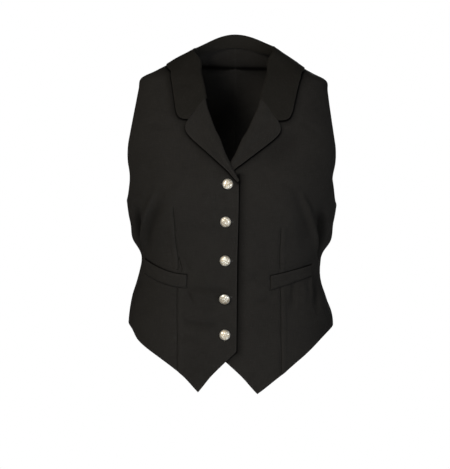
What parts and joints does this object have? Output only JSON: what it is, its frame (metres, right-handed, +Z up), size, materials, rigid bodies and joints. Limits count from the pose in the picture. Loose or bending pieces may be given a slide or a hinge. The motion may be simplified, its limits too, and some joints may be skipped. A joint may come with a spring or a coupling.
{
  "type": "canvas vest",
  "caption": "Fitted sleeveless canvas vest with a notched collar and lapels, slanted welt pockets, metal shank buttons and a pointed front hem.",
  "frame": {"origin": "midway between the neck ends of the two shoulder seams", "axes": "+Z up as worn, -Y the way the front faces, +X the wearer's left"},
  "size_m": [0.3551, 0.2536, 0.6072],
  "materials": {
    "black_canvas": "matt black canvas",
    "old_silver": "antique silver"
  },
  "bodies": {
    "root": {"front_right": "black_canvas", "front_left": "black_canvas", "back_right": "black_canvas", "back_left": "black_canvas", "lapel_right": "black_canvas", "lapel_left": "black_canvas", "collar": "black_canvas", "pocket_welt_right": "black_canvas", "pocket_welt_left": "black_canvas", "button_1": "old_silver", "button_2": "old_silver", "button_3": "old_silver", "button_4": "old_silver", "button_5": "old_silver"}
  },
  "joints": []
}
